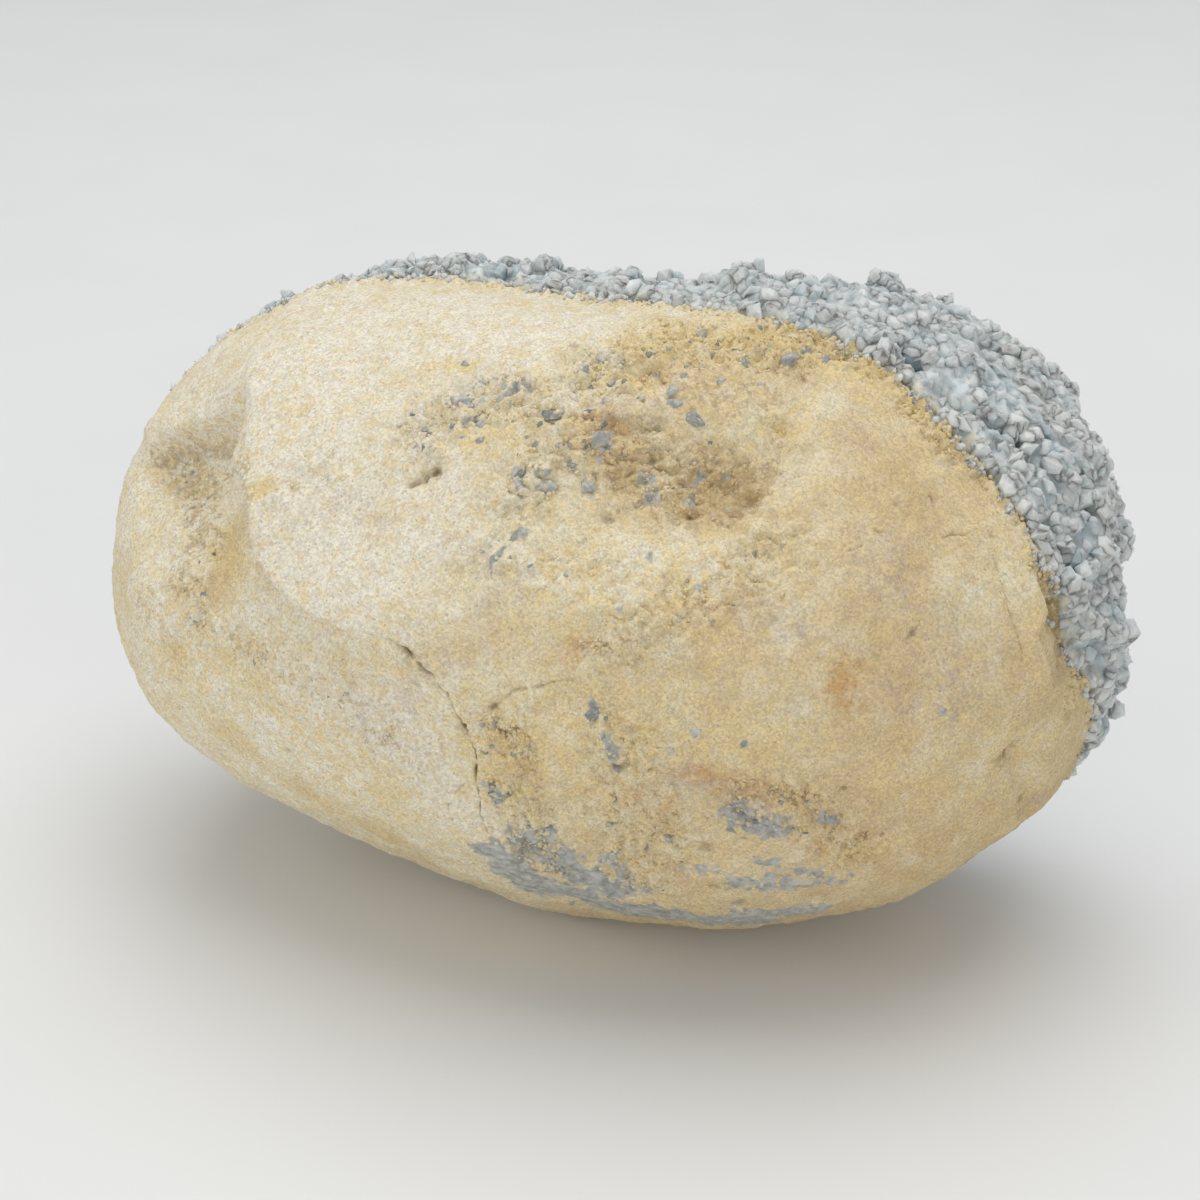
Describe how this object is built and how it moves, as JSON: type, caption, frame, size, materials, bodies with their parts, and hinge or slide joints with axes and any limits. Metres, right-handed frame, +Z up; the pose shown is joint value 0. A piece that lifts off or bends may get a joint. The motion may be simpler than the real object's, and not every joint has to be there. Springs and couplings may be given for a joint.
{
  "type": "celestite geode",
  "caption": "Egg-shaped limestone nodule broken open at its back, with a hollow and a rim crusted in pale blue celestite crystals; rests on a flat spot.",
  "frame": {"origin": "on the ground, under the middle of the model's footprint", "axes": "+X along the nodule towards the end where the crystals come round, +Y out of the hollow, +Z up"},
  "size_m": [0.182, 0.096, 0.1124],
  "materials": {
    "limestone": "rough sandy cream and ochre limestone skin",
    "celestite": "translucent frosted blue-grey crystal"
  },
  "bodies": {
    "root": {"limestone_nodule": "limestone", "celestite_crust": "celestite"}
  },
  "joints": []
}
